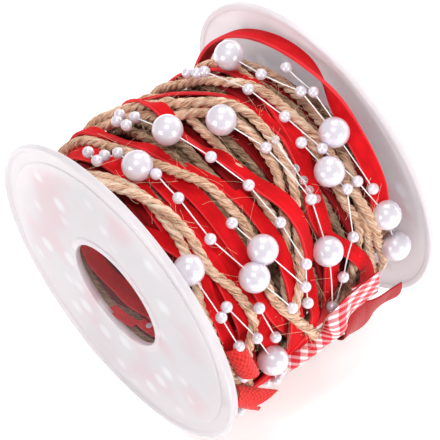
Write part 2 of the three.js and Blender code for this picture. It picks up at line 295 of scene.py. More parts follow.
# %% Jute
def make_jute(name, shades, source="UV", grain=(2.1, 0.36, 1.0)):
    """Jute, with the colours of its streaks from dark to light."""
    material, nodes, links, shader = new_material(name)
    streaks = add_node(nodes, "ShaderNodeTexNoise", inputs={"Scale": 1.0, "Detail": 6.0, "Roughness": 0.7})
    links.new(mapped(nodes, links, source, grain, 10), streaks.inputs["Vector"])
    patches = add_node(nodes, "ShaderNodeTexNoise", inputs={"Scale": 1.0, "Detail": 2.0})
    links.new(mapped(nodes, links, source, [0.06 * g for g in grain]), patches.inputs["Vector"])
    both = add_node(nodes, "ShaderNodeMath", {"operation": "MULTIPLY_ADD"}, {1: 0.45})
    links.new(patches.outputs["Fac"], both.inputs[0])
    links.new(streaks.outputs["Fac"], both.inputs[2])
    ramp = ramp_between(nodes, list(zip((0.57, 0.68, 0.76, 0.86), shades)))
    links.new(both.outputs[0], ramp.inputs["Fac"])
    links.new(ramp.outputs["Color"], shader.inputs["Base Color"])
    set_finish(shader, roughness=0.9, specular_ior_level=0.2, sheen_weight=0.25, sheen_roughness=0.5)
    shader.inputs["Sheen Tint"].default_value = (1.0, 0.85, 0.65, 1)
    add_bump(nodes, links, shader, streaks.outputs["Fac"], 1.0, 0.6)
    return material


jute = make_jute(
    "jute", [(0.24, 0.12, 0.065), (0.70, 0.39, 0.24), (0.98, 0.65, 0.46), (1.0, 0.88, 0.71)])
shaded_jute = make_jute(
    "shaded_jute", [(0.07, 0.035, 0.018), (0.22, 0.12, 0.065), (0.40, 0.25, 0.15), (0.55, 0.38, 0.25)])
pale_fibre = make_jute(
    "pale_fibre", [(0.55, 0.34, 0.19), (0.80, 0.56, 0.36), (0.92, 0.72, 0.52), (0.97, 0.84, 0.68)],
    "Object", (300.0, 300.0, 300.0))
print("jute made:", jute.name, shaded_jute.name, pale_fibre.name)


# %% [markdown]
# A moulded pearl is white plastic under a pearl lacquer. The lacquer gives the sharp
# reflections, so it is a coat. The pink and lilac cast at the rim is sheen. A faint noise in
# the coat's relief keeps the reflections from looking like glass.


# %% Pearls and their line
def make_pearl(name, colour, coat, subsurface):
    """Pearl lacquer over white plastic."""
    material, nodes, links, shader = new_material(name)
    cloud = add_node(nodes, "ShaderNodeTexNoise", inputs={"Scale": 260.0, "Detail": 2.0})
    links.new(mapped(nodes, links, "Object", (1, 1, 1)), cloud.inputs["Vector"])
    ramp = ramp_between(nodes, [(0.3, colour), (0.7, [0.96 * c for c in colour])])
    links.new(cloud.outputs["Fac"], ramp.inputs["Fac"])
    links.new(ramp.outputs["Color"], shader.inputs["Base Color"])
    set_finish(shader, roughness=0.30, metallic=0.2 * coat, coat_weight=coat, coat_roughness=0.06,
               coat_ior=1.7, sheen_weight=0.35, sheen_roughness=0.35, subsurface_weight=subsurface)
    shader.inputs["Subsurface Radius"].default_value = (1.0, 0.7, 0.8)
    shader.inputs["Subsurface Scale"].default_value = 1.2 * MM
    shader.inputs["Sheen Tint"].default_value = (1.0, 0.62, 0.80, 1)
    add_bump(nodes, links, shader, cloud.outputs["Fac"], 0.12, 0.05)
    return material


pearl = make_pearl("pearl", (0.76, 0.71, 0.78), 1.0, 0.1)
bead_line_white = make_pearl("bead_line", (0.93, 0.92, 0.92), 0.3, 0.0)
print("pearl made:", pearl.name, bead_line_white.name)


# %% Helpers for plastic
def make_plastic(name, colour, grain, relief, **finish):
    """Moulded plastic with a faint grain. Returns the parts of its tree too."""
    material, nodes, links, shader = new_material(name)
    haze = add_node(nodes, "ShaderNodeTexNoise", inputs={"Scale": grain, "Detail": 3.0})
    links.new(mapped(nodes, links, "Object", (1, 1, 1)), haze.inputs["Vector"])
    tint = ramp_between(nodes, [(0.3, [c * 0.985 for c in colour]), (0.7, colour)])
    links.new(haze.outputs["Fac"], tint.inputs["Fac"])
    links.new(tint.outputs["Color"], shader.inputs["Base Color"])
    set_finish(shader, **finish)
    add_bump(nodes, links, shader, haze.outputs["Fac"], 0.1, relief)
    return material, nodes, links, shader, tint


def blend_in(nodes, links, below, factor, colour):
    """Lay a colour over the one below, as strongly as the factor says."""
    mix = add_node(nodes, "ShaderNodeMix", {"data_type": "RGBA"})
    mix.inputs[7].default_value = (*colour, 1)
    links.new(factor, mix.inputs[0])
    links.new(below, mix.inputs[6])
    return mix.outputs[2]


# %% [markdown]
# The discs are milky, and what lies against their inner side shows through as soft blurs: pink
# where it is ribbon, white where it is pearl. Real blurring would take a long render to come
# out clean, so the blurs are drawn in the plastic, and fade out where the winding ends.

# %% Frosted and clear plastic
blurs_end = 41
blurs_full = 36

frosted, nodes, links, shader, tint = make_plastic(
    "frosted_plastic", (0.735, 0.69, 0.72), 60.0, 0.1, roughness=0.36, transmission_weight=0.25, ior=1.45,
    subsurface_weight=0.7, subsurface_radius=(1, 1, 1), subsurface_scale=0.004)
from_axle = add_node(nodes, "ShaderNodeVectorMath", {"operation": "LENGTH"})
links.new(mapped(nodes, links, "Object", (0, 1, 1), 0, (0, 0, -axle_height * MM)), from_axle.inputs[0])
wound = add_node(nodes, "ShaderNodeMapRange", {"interpolation_type": "SMOOTHSTEP"},
                 {"From Min": blurs_end * MM, "From Max": blurs_full * MM})
links.new(from_axle.outputs["Value"], wound.inputs["Value"])

pink_patches = add_node(nodes, "ShaderNodeTexNoise", inputs={"Scale": 62.0, "Detail": 1.5, "Roughness": 0.5})
links.new(mapped(nodes, links, "Object", (1, 1, 1)), pink_patches.inputs["Vector"])
pink_share = add_node(nodes, "ShaderNodeMapRange", {"interpolation_type": "SMOOTHSTEP"},
                      {"From Min": 0.42, "From Max": 0.70, "To Max": 0.75})
links.new(pink_patches.outputs["Fac"], pink_share.inputs["Value"])
pink_here = add_node(nodes, "ShaderNodeMath", {"operation": "MULTIPLY"})
links.new(pink_share.outputs["Result"], pink_here.inputs[0])
links.new(wound.outputs["Result"], pink_here.inputs[1])
pinked = blend_in(nodes, links, tint.outputs["Color"], pink_here.outputs[0], (0.74, 0.52, 0.57))

pearl_blurs = add_node(nodes, "ShaderNodeTexVoronoi", {"feature": "SMOOTH_F1"},
                       {"Scale": 105.0, "Smoothness": 0.35})
links.new(mapped(nodes, links, "Object", (1, 1, 1)), pearl_blurs.inputs["Vector"])
blur_share = add_node(nodes, "ShaderNodeMapRange", {"interpolation_type": "SMOOTHSTEP"},
                      {"From Min": 0.36, "From Max": 0.14, "To Max": 0.8})
links.new(pearl_blurs.outputs["Distance"], blur_share.inputs["Value"])
blur_here = add_node(nodes, "ShaderNodeMath", {"operation": "MULTIPLY"})
links.new(blur_share.outputs["Result"], blur_here.inputs[0])
links.new(wound.outputs["Result"], blur_here.inputs[1])
milky = blend_in(nodes, links, pinked, blur_here.outputs[0], (0.92, 0.90, 0.93))
links.new(milky, shader.inputs["Base Color"])

clear = make_plastic("clear_plastic", (0.90, 0.87, 0.90), 40.0, 0.02, roughness=0.05, alpha=0.05)[0]
bead_glass = make_plastic("clear_bead", (0.95, 0.93, 0.95), 300.0, 0.02, roughness=0.06,
                          transmission_weight=0.8, ior=1.45)[0]
print("plastic made:", frosted.name, clear.name, bead_glass.name)


# %% [markdown]
# Three more ribbons show at the loose ends. Gingham is a check: stripes both ways, red where
# two red stripes cross, white where two white ones do, pink between. The plain red ribbon is
# a close weave, and the woven ends are a coarse one whose threads can be counted.


# %% Woven ribbons
def thread_height(nodes, links, count_across, count_along):
    """The relief of a plain weave, with its threads in each direction to the millimetre."""
    split = nodes.new("ShaderNodeSeparateXYZ")
    links.new(mapped(nodes, links, "UV", (count_across * math.pi, count_along * math.pi, 1)), split.inputs[0])
    waves = []
    for axis in ("X", "Y"):
        wave = add_node(nodes, "ShaderNodeMath", {"operation": "SINE"})
        links.new(split.outputs[axis], wave.inputs[0])
        waves.append(wave)
    crossing = add_node(nodes, "ShaderNodeMath", {"operation": "MULTIPLY"})
    links.new(waves[0].outputs[0], crossing.inputs[0])
    links.new(waves[1].outputs[0], crossing.inputs[1])
    raised = add_node(nodes, "ShaderNodeMath", {"operation": "MULTIPLY_ADD"}, {1: 0.5, 2: 0.5})
    links.new(crossing.outputs[0], raised.inputs[0])
    return raised.outputs[0]


def make_woven(name, dark, light, threads, depth):
    """A plain woven ribbon of one colour."""
    material, nodes, links, shader = new_material(name)
    height = thread_height(nodes, links, threads, threads)
    slub = add_node(nodes, "ShaderNodeTexNoise", inputs={"Scale": 1.2, "Detail": 3.0})
    links.new(mapped(nodes, links, "UV", (1, 1, 1)), slub.inputs["Vector"])
    both = add_node(nodes, "ShaderNodeMath", {"operation": "MULTIPLY_ADD"}, {1: 0.45})
    links.new(height, both.inputs[0])
    links.new(slub.outputs["Fac"], both.inputs[2])
    ramp = ramp_between(nodes, [(0.35, dark), (0.85, light)])
    links.new(both.outputs[0], ramp.inputs["Fac"])
    links.new(ramp.outputs["Color"], shader.inputs["Base Color"])
    set_finish(shader, roughness=0.7, specular_ior_level=0.3, sheen_weight=0.15)
    add_bump(nodes, links, shader, height, 0.8, depth)
    return material


def make_gingham(name, red, white, across, along, turn):
    """A woven check with stripes of one width each way, cut at a slant to the threads."""
    material, nodes, links, shader = new_material(name)
    stretch = add_node(nodes, "ShaderNodeMapping", inputs={"Scale": (1 / across, 1 / along, 1)})
    links.new(mapped(nodes, links, "UV", (1, 1, 1), turn), stretch.inputs["Vector"])
    split = nodes.new("ShaderNodeSeparateXYZ")
    links.new(stretch.outputs["Vector"], split.inputs[0])
    stripes = []
    for axis in ("X", "Y"):
        pair = add_node(nodes, "ShaderNodeMath", {"operation": "PINGPONG"}, {1: 1.0})
        links.new(split.outputs[axis], pair.inputs[0])
        edge = add_node(nodes, "ShaderNodeMapRange", inputs={"From Min": 0.50, "From Max": 0.64})
        links.new(pair.outputs[0], edge.inputs["Value"])
        stripes.append(edge)
    total = add_node(nodes, "ShaderNodeMath", {"operation": "ADD"})
    links.new(stripes[0].outputs[0], total.inputs[0])
    links.new(stripes[1].outputs[0], total.inputs[1])
    share = add_node(nodes, "ShaderNodeMath", {"operation": "MULTIPLY"}, {1: 0.5})
    links.new(total.outputs[0], share.inputs[0])
    pink = [0.7 * a + 0.3 * b for a, b in zip(red, white)]
    ramp = ramp_between(nodes, [(0.05, red), (0.5, pink), (0.95, white)])
    links.new(share.outputs[0], ramp.inputs["Fac"])
    links.new(ramp.outputs["Color"], shader.inputs["Base Color"])
    set_finish(shader, roughness=0.6, specular_ior_level=0.35, sheen_weight=0.1)
    add_bump(nodes, links, shader, thread_height(nodes, links, 2.5, 2.5), 0.5, 0.1)
    return material


gingham = make_gingham("gingham", (0.66, 0.004, 0.02), (0.95, 0.92, 0.94), 0.9, 2.2, 38)
# The plain red is the tail's own colour. On the back of the gingham it is painted shade for the fold.
plain_red_and_fold_shade = make_woven("red_ribbon", (0.26, 0.001, 0.003), (0.44, 0.003, 0.006), 2.5, 0.08)
red_weave = make_woven("red_weave", (0.40, 0.002, 0.003), (0.80, 0.022, 0.015), 1.6, 0.15)
# A much darker velvet for the ring under the bed: painted shade for the gaps between its turns.
core_ring_shade_red = make_velvet("wound_trimmings", (0.12, 0.001, 0.002), (0.42, 0.006, 0.01), (0.30, 0.01, 0.01), 0.1)
print("materials made:", len(bpy.data.materials))


# %% [markdown]
# Finishing a piece
#
# These helpers do what the menus do: leave nothing selected, apply the modifiers, join
# several meshes into one piece, smooth its shading, and hand the piece over with its
# material and the body that it rides on, hiding the solid that it stands for.


# %% Helpers for modelling
def deselect_all():
    bpy.ops.object.select_all(action="DESELECT")


def only(piece):
    """Select one piece and make it the active one."""
    deselect_all()
    piece.select_set(True)
    bpy.context.view_layer.objects.active = piece


def apply_modifiers(piece):
    only(piece)
    for modifier in list(piece.modifiers):
        bpy.ops.object.modifier_apply(modifier=modifier.name)


def join_pieces(name, pieces):
    """Join meshes into one piece."""
    only(pieces[0])
    for piece in pieces[1:]:
        piece.select_set(True)
    if len(pieces) > 1:
        bpy.ops.object.join()
    pieces[0].name = name
    pieces[0].data.name = name
    return pieces[0]


def clean_shell(piece, merge=0.002):
    """Merge doubles, close what is open and point the faces outwards."""
    only(piece)
    bpy.ops.object.mode_set(mode="EDIT")
    bpy.ops.mesh.select_all(action="SELECT")
    bpy.ops.mesh.remove_doubles(threshold=merge * MM)
    bpy.ops.mesh.fill_holes(sides=0)
    bpy.ops.mesh.normals_make_consistent(inside=False)
    bpy.ops.object.mode_set(mode="OBJECT")


def hand_over(piece, material, replaced, smooth_angle=40):
    """Give a finished piece its material and its body, and hide the solids that it replaces."""
    only(piece)
    bpy.ops.object.shade_smooth_by_angle(angle=math.radians(smooth_angle))
    apply_modifiers(piece)
    if not piece.data.materials:
        piece.data.materials.append(material)
    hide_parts(*replaced)
    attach(piece, "root")
    print(piece.name, "has", sum(len(face.vertices) - 2 for face in piece.data.polygons), "triangles")


# %% [markdown]
# The spool
#
# Each disc is a moulding that is round about the axle, so its section is drawn once and spun.
# The section has the rolled rim, the low step near it, the collar round the hole and the
# socket that holds the tube. The lowest half millimetre is cut flat, where the disc stands.


# %% Spin the discs and the tube
disc_section = [
    (15.9, 0.25), (16.15, 0.0), (17.55, 0.0), (17.85, 0.12), (18.1, 0.4), (40.75, 0.4), (41.0, 0.48),
    (41.25, 0.8), (44.1, 0.8), (44.5, 0.55), (44.92, 0.1), (45.2, 0.0), (45.64, 0.08), (45.9, 0.3),
    (46.0, 0.6), (46.0, 1.85), (45.75, 2.1), (44.45, 2.1), (44.2, 1.9), (43.8, 1.75), (40.8, 1.5),
    (18.95, 1.5), (18.8, 1.65), (18.8, 2.6), (18.7, 2.7), (17.7, 2.7), (17.6, 2.6), (17.6, 1.5), (15.9, 1.5),
]
disc_steps = 180
tube_steps = 96


def spin_section(name, section, steps):
    """Turn a closed section of (radius, x) points round the axle."""
    deselect_all()
    bpy.ops.mesh.primitive_circle_add(vertices=len(section), radius=1)
    piece = bpy.context.object
    piece.name = name
    for vertex, (radius, x) in zip(piece.data.vertices, section):
        vertex.co = Vector((x, 0, axle_height + radius)) * MM
    bpy.ops.object.mode_set(mode="EDIT")
    bpy.ops.mesh.select_all(action="SELECT")
    bpy.ops.mesh.spin(steps=steps, angle=math.tau, center=roll_centre, axis=(1, 0, 0), use_auto_merge=True)
    bpy.ops.object.mode_set(mode="OBJECT")
    clean_shell(piece)
    return piece


def cut_foot(piece):
    """Cut a disc flat where it stands on the floor."""
    only(piece)
    bpy.ops.object.mode_set(mode="EDIT")
    bpy.ops.mesh.select_all(action="SELECT")
    bpy.ops.mesh.bisect(
        plane_co=(0, 0, 0), plane_no=(0, 0, -1), clear_outer=True, use_fill=True, threshold=0.000001
    )
    bpy.ops.object.mode_set(mode="OBJECT")


for node, side in (("flange_front", -1), ("flange_back", 1)):
    section = [(radius, side * (half_width - depth)) for radius, depth in disc_section]
    disc = spin_section(node.replace("flange", "disc"), section, disc_steps)
    cut_foot(disc)
    hand_over(disc, frosted, [node], 30)

tube_end = half_width - disc_thickness - 0.3
tube_section = [
    (hole_radius, -tube_end), (hole_radius + tube_wall, -tube_end),
    (hole_radius + tube_wall, tube_end), (hole_radius, tube_end),
]
tube = spin_section("tube", tube_section, tube_steps)
hand_over(tube, clear, ["core_tube"], 30)

# %% [markdown]
# How strands pile up
#
# What makes a roll look wound is that each strand rests on the ones below it. So the roll
# keeps a map of its own height: for each half millimetre along the axle and each degree
# round it, the radius reached so far. To lay a strand, its route is compared with the map.
# It rides over what it crosses and bridges the hollows, as a taut ribbon does. Then it is
# stamped into the map for the next strand.

# %% The height map
map_reach = 34
cell = 0.5
columns_of_map = int(2 * map_reach / cell) + 1
map_x = np.linspace(-map_reach, map_reach, columns_of_map)
turn_angles = np.arange(-90, 271)
winding_middle = 37.6
winding_end = 36.8
back_dip, dip_angle, dip_spread = 3.6, 68, 42
front_bulge, bulge_angle, bulge_spread = 1.7, 190, 26
bed_depth = 7.6
full_height = 2.0
packing = 0.4
most_lean = 1.2


def form_radius(x, angle):
    """The radius of the wound form, dipped at the back top and fuller at the front."""
    t = np.clip(np.asarray(x) / winding_reach, -1, 1)

    def hump(centre, spread):
        away = (np.asarray(angle) - centre + 180) % 360 - 180
        return np.exp(-((away / spread) ** 2))

    radius = winding_middle + (winding_end - winding_middle) * t * t
    radius = radius - np.where(t > 0, back_dip * t * t * hump(dip_angle, dip_spread), 0)
    return radius + front_bulge * hump(bulge_angle, bulge_spread)


heights = form_radius(map_x[:, None], np.arange(360)[None, :]) - bed_depth
print("the bed starts", heights.min().round(1), "to", heights.max().round(1), "mm from the axle")


# %% Resting a strand on the roll
def column(x):
    """The column of the map at a place along the axle."""
    return int(np.clip(round((x + map_reach) / cell), 0, columns_of_map - 1))


def drape(values, reach, smooth):
    """What a taut strand does over bumps: it touches the highest and bridges the rest."""
    lifted = np.max([np.roll(values, shift) for shift in range(-reach, reach + 1)], axis=0)
    for _ in range(2):
        lifted = np.mean([np.roll(lifted, shift) for shift in range(-smooth, smooth + 1)], axis=0)
    return lifted


def settle(route, width, thickness, give=0.0, extra_lean=0.0):
    """Rest a strand of that width on the roll. Returns the underside's radius at both edges."""
    slant = np.gradient(route) / (math.radians(1) * 40)
    reach = width / 2 * np.sqrt(1 + slant ** 2)
    left, right = np.empty(len(route)), np.empty(len(route))
    for i, x in enumerate(route):
        degree = int(turn_angles[i]) % 360
        left[i] = heights[column(x - reach[i]):column(x) + 1, degree].max()
        right[i] = heights[column(x):column(x + reach[i]) + 1, degree].max()
    left, right = drape(left, 3, 5), drape(right, 3, 5)
    lean = np.clip(right - left, -most_lean, most_lean) + extra_lean
    middle = np.maximum(left, right) - np.abs(lean) / 2 - give
    full = form_radius(route, turn_angles) + full_height
    middle = np.where(middle > full, full + packing * (middle - full), middle)
    left, right = middle - lean / 2, middle + lean / 2
    for i, x in enumerate(route):
        degree = int(turn_angles[i]) % 360
        first, last = column(x - reach[i]), column(x + reach[i])
        top = np.interp(map_x[first:last + 1], [x - reach[i], x + reach[i]], [left[i], right[i]]) + thickness
        heights[first:last + 1, degree] = np.maximum(heights[first:last + 1, degree], top)
    return left, right


def smooth_route(knots, angles):
    """A smooth route through (angle, x) knots, level before the first and after the last."""
    at, x = np.array(knots, float).T
    slope = np.gradient(x, at)
    angles = np.clip(angles, at[0], at[-1])
    i = np.clip(np.searchsorted(at, angles) - 1, 0, len(at) - 2)
    span = at[i + 1] - at[i]
    t = (angles - at[i]) / span
    start, end = 2 * t ** 3 - 3 * t ** 2 + 1, 3 * t ** 2 - 2 * t ** 3
    leave, arrive = t ** 3 - 2 * t ** 2 + t, t ** 3 - t ** 2
    return start * x[i] + end * x[i + 1] + span * (leave * slope[i] + arrive * slope[i + 1])


# %% [markdown]
# From a route to a ribbon
#
# A ribbon starts as what it is, a flat strip: a grid with its own UV map. Its rows are then
# moved onto the route, each turned across it, and the strip gets its thickness and rounded
# edges from modifiers. The UV map is stretched to millimetres, so patterns keep their scale.


# %% Lay a flat grid along a route
def lay_grid(name, points, width, length, start=0.0):
    """A flat grid whose rows and columns are moved onto points, with its UV in millimetres."""
    rows, columns = points.shape[:2]
    deselect_all()
    bpy.ops.mesh.primitive_grid_add(x_subdivisions=columns - 1, y_subdivisions=rows - 1, size=2)
    piece = bpy.context.object
    piece.name = name
    mesh = piece.data
    flat = np.empty(len(mesh.vertices) * 3)
    mesh.vertices.foreach_get("co", flat)
    flat = flat.reshape(-1, 3)
    column_of = np.rint((flat[:, 0] + 1) / 2 * (columns - 1)).astype(int)
    row_of = np.rint((flat[:, 1] + 1) / 2 * (rows - 1)).astype(int)
    mesh.vertices.foreach_set("co", (points[row_of, column_of] * MM).ravel())
    uv = np.empty(len(mesh.loops) * 2)
    mesh.uv_layers[0].data.foreach_get("uv", uv)
    uv = uv.reshape(-1, 2) * (width, length) + (0, start)
    mesh.uv_layers[0].data.foreach_set("uv", uv.ravel())
    mesh.update()
    return piece


def thicken(piece, thickness, rounding, back_material=0):
    """Give a laid strip its thickness and rounded edges."""
    solid = piece.modifiers.new("thickness", "SOLIDIFY")
    solid.thickness = thickness * MM
    solid.offset = 0
    solid.material_offset = back_material
    solid.material_offset_rim = back_material
    if rounding:
        bevel = piece.modifiers.new("rounding", "BEVEL")
        bevel.width = rounding * MM
        bevel.segments = 2
        bevel.limit_method = "ANGLE"
        bevel.angle_limit = math.radians(60)
    apply_modifiers(piece)
    return piece


def wind_ribbon(name, route, width, thickness, step=2, columns=5, rounding=0.22, start=0.0, lean=0.0):
    """Wind one turn of ribbon on the roll along its route, leaning by the given height."""
    route = np.clip(route, width / 2 - winding_reach, winding_reach - width / 2)
    left, right = settle(route, width, thickness, 0, lean)
    level = np.sqrt(1 - np.clip((right - left) / width, -0.9, 0.9) ** 2)[::step, None]
    slant = np.arctan2(np.gradient(route), math.radians(1) * (left + right) / 2)
    rows = slice(None, None, step)
    u = np.linspace(-1, 1, columns)[None, :]
    radius = left[rows, None] * (1 - u) / 2 + right[rows, None] * (1 + u) / 2 + thickness / 2
    x = route[rows, None] + u * width / 2 * level * np.cos(slant[rows, None])
    turned = np.degrees(u * width / 2 * np.sin(slant[rows, None]) / radius)
    points = on_roll(x, turn_angles[rows, None] - turned, radius)
    length = math.tau * float(np.mean(radius))
    piece = lay_grid(name, points, width, length, start)
    return thicken(piece, thickness, rounding)


# %% [markdown]
# Twine is three plies of jute twisted round each other. Each ply is a tube that spirals round
# the twine's own line, so the strand has the real crossing grooves. The tube is the same
# flat grid rolled up, which gives its fibres a UV map to follow.

# %% Lay a twine
ply_count = 3
ply_radius = 0.79
ply_offset = 0.60
ply_pitch = 8.0
twine_lines = []


def twist_twine(name, route, height, seed, step=1.25, sides=8, keep_line=False):
    """Twist one turn of twine from its plies, with its x and its radius at each angle."""
    rough = random.Random(seed)
    angle = np.arange(-90, 270 + step / 2, step)
    x = np.interp(angle, turn_angles, route)
    radius = np.interp(angle, turn_angles, height)
    wave = rough.uniform(0, 6)
    x = x + 0.18 * np.sin(np.radians(angle * 11) + wave)
    line = on_roll(x, angle, radius)
    run = np.gradient(line, axis=0)
    run /= np.linalg.norm(run, axis=1, keepdims=True)
    out = on_roll(x, angle, radius + 1) - line
    across = np.cross(run, out)
    across /= np.linalg.norm(across, axis=1, keepdims=True)
    out = np.cross(across, run)
    length_so_far = np.concatenate([[0], np.cumsum(np.linalg.norm(np.diff(line, axis=0), axis=1))])
    pitch_wander = 0.5 * np.sin(length_so_far / 17 + wave)
    plies = []
    around = np.linspace(0, math.tau, sides + 1)[None, :]
    for ply in range(ply_count):
        start_phase = ply * math.tau / ply_count
        phase = (length_so_far / ply_pitch * math.tau + start_phase + pitch_wander)[:, None]
        swell = 1 + 0.10 * np.sin(length_so_far / 3.1 + wave + 2 * ply)[:, None]
        ring_across = ply_offset * np.cos(phase) + ply_radius * swell * np.cos(around + phase * 0.4)
        ring_out = ply_offset * np.sin(phase) + ply_radius * swell * np.sin(around + phase * 0.4)
        points = (line[:, None, :] + ring_across[..., None] * across[:, None, :]
                  + ring_out[..., None] * out[:, None, :])
        tube_of_ply = lay_grid(f"{name}_ply_{ply}", points, math.tau * ply_radius,
                               float(length_so_far[-1]), rough.uniform(0, 400))
        clean_shell(tube_of_ply)
        plies.append(tube_of_ply)
    if keep_line:
        twine_lines.append((line, run, across, out))
    return join_pieces(name, plies)


def wind_twine(name, route, seed, step=1.25, sides=8, keep_line=True):
    """Wind one turn of twine on the roll along its route."""
    route = np.clip(route, twine_width / 2 - winding_reach, winding_reach - twine_width / 2)
    left, right = settle(route, twine_width * 0.9, twine_width * 0.86, 0.1)
    height = (left + right) / 2 + twine_width * 0.45
    return twist_twine(name, route, height, seed, step, sides, keep_line)


# %% [markdown]
# The bed of the winding
#
# Under the turns that can be followed in the picture lies the rest of the roll. Its turns
# are laid by a loop, each a closed ring that wanders a little from side to side, ribbon and
# twine in turn. A seed makes the wandering the same each time.

# %% Wind the hidden turns
bed_random = random.Random(11)
bed_ribbons, bed_twines = [], []
bed_pitch = 3.93
for layer, bed_kinds in enumerate(("VTVTVVTVTVTVVTVT", "TVTTVTTVTVTTVT")):
    for number, kind in enumerate(bed_kinds):
        sway = bed_random.uniform(0.8, 2.6)
        phase = bed_random.uniform(0, math.tau)
        second_phase = bed_random.uniform(0, math.tau)
        around = np.radians(turn_angles)
        middle = -29.5 + bed_pitch * number + bed_random.uniform(-1, 1)
        route = middle + sway * np.sin(around + phase) + 0.5 * sway * np.sin(2 * around + second_phase)
        route = np.clip(route, -30.6, 30.6)
        if kind == "V":
            bed_ribbons.append(wind_ribbon("bed", route, wound_width, velvet_thickness, 3, 4, 0,
                                           bed_random.uniform(0, 300)))
        else:
            bed_twines.append(wind_twine("bed", route, bed_random.randrange(999), 2.0, 6, layer == 1))
print("bed height from", heights.min().round(1), "to", heights.max().round(1), "mm, mean",
      heights.mean().round(1))

# %% [markdown]
# The turns in the picture
#
# The upper turns were followed one by one. Each table holds one turn of a strand as
# (angle, x) knots, and the next table carries the same strand on for another turn. The turns
# are laid one over the other in the order in which they cross in the picture.

# %% Routes of the upper turns
velvet_turns = [
    [[30, -32.5], [105, -31.5], [126, -26.5], [150, -27.2], [190, -28.5], [260, -30.5]],
    [[20, -31], [72, -30.9], [85, -28.1], [107, -23.3], [135, -21.8], [165, -22.6], [230, -20]],
    [[10, -16.5], [74, -13.4], [91, -12.3], [122, -5.4], [150, -5.3], [166, -8.5], [240, -13]],
    [[0, -10], [57, -3.6], [88, -3.9], [116, -0.6], [142, 2.4], [151, 1.3], [162, 0], [172, -0.8],
     [178, -3.2], [184, -6.4], [190, -10.4], [196, -15], [250, -16]],
    [[0, -4], [50, 1], [68, 8], [87, 13.2], [109, 13.4], [128, 12.1], [160, 7], [250, 2]],
    [[20, 14], [70, 20], [105, 17.5], [124, 14.1], [144, 7.9], [153, 8.4], [168, 14], [260, 21]],
]
twine_turns = [
    [[20, -30], [86, -31.2], [99, -27.4], [118, -23.4], [135, -24.2], [147, -21.4], [161, -20.8],
     [172, -23.8], [240, -25]],
    [[20, -29], [70, -30.5], [109, -25.5], [134, -28.4], [147, -30.5], [160, -31.3], [176, -30.6], [188, -29],
     [270, -26]],
    [[20, -25], [61, -19.1], [90, -16.2], [112, -11.4], [130, -9.8], [144, -12.8], [160, -13.2], [171, -10.2],
     [182, -6], [195, -4], [260, -10]],
    [[10, -14], [70, 0], [89, 8.3], [118, 8.7], [147, 0.3], [158, -4.6], [168, -9.6], [182, -6.2],
     [195, -4], [240, -8]],
    [[0, 6], [68, 12.9], [88, 17.9], [118, 20.3], [153, 20.5], [185, 24], [270, 27]],
]


def turn_route(turns, number):
    """The route of one turn of a strand, joined smoothly to the turns before and after it."""
    knots = [(angle + 360 * turn, x) for turn, rows in enumerate(turns) for angle, x in rows]
    return smooth_route(knots, turn_angles + 360 * number)


lower_velvets = [
    [[90, -24], [137, -25.2], [146, -24.2], [155, -24.1], [167, -24.7], [230, -25]],
    [[90, -18.5], [155, -18.2], [164, -18.4], [174, -17.7], [240, -16]],
    [[90, -15], [140, -14.9], [156, -15.4], [166, -14.2], [178, -10.8], [190, -8], [240, 0]],
]
lower_twines = [
    [[60, 2], [135, -0.9], [145, -0.6], [154, -1.7], [162, -4.1], [168, -6.7], [230, -8]],
    [[60, 22], [121, 18.6], [135, 18], [146, 17.8], [162, 18.3], [169, 16.1], [177, 13.2], [240, 11]],
    [[20, -16], [70, -2.6], [89, 5.5], [118, 6.0], [147, -2.4], [158, -6.6], [168, -10], [182, -6.3],
     [195, -4], [240, -9]],
    [[90, 27], [140, 23.5], [160, 20.4], [174, 20.4], [193, 21.8], [240, 22]],
]

# The ribbon leans where it climbs over the back of the roll and lies flat on its front.
velvet_lean = smooth_route([[-90, 0], [0, -1.4], [75, -2.2], [105, -1.8], [140, -0.7], [200, 0.4], [270, 0]],
                           turn_angles)
print("turns of ribbon:", len(velvet_turns) + len(lower_velvets),
      "turns of twine:", len(twine_turns) + len(lower_twines))

# %% Wind the upper turns
ribbons, twines = [], []
for knots in lower_velvets:
    ribbons.append(wind_ribbon("ribbon", smooth_route(knots, turn_angles), wound_width, velvet_thickness))
for number, knots in enumerate(lower_twines):
    twines.append(wind_twine("twine", smooth_route(knots, turn_angles), 40 + number))

laying_order = ["V1", "V0", "T1", "T0", "V2", "V5", "T3", "T2", "V3", "V4", "T4"]
for code in laying_order:
    number = int(code[1])
    if code[0] == "V":
        ribbons.append(wind_ribbon("ribbon", turn_route(velvet_turns, number), wound_width,
                                   velvet_thickness, start=260.0 * number, lean=velvet_lean))
    else:
        twines.append(wind_twine("twine", turn_route(twine_turns, number), 60 + number))
print("roll height from", heights.min().round(1), "to", heights.max().round(1), "mm, mean",
      heights.mean().round(1))

velvet_piece = join_pieces("velvet_turns", ribbons)
hand_over(velvet_piece, velvet, ["winding"])
twine_piece = join_pieces("twine_turns", twines)
hand_over(twine_piece, jute, ["winding"])
# The bed turns get the darker copies of velvet and jute: painted shade.
bed_velvet_piece = join_pieces("velvet_bed", bed_ribbons)
hand_over(bed_velvet_piece, painted_shade_velvet, ["winding"])
bed_twine_piece = join_pieces("twine_bed", bed_twines)
hand_over(bed_twine_piece, shaded_jute, ["winding"])

# %% [markdown]
# Strung pearls
#
# The garland is a thin white line with pearls moulded onto it: large ones 8 mm across, and
# small ones between them. Each string is a list of its beads by angle and x, with L for a
# large pearl, s for a small one and c for a tiny clear bead. A bead is seated on the height
# map, and the line runs from bead to bead, lifted where a strand lies in its way.

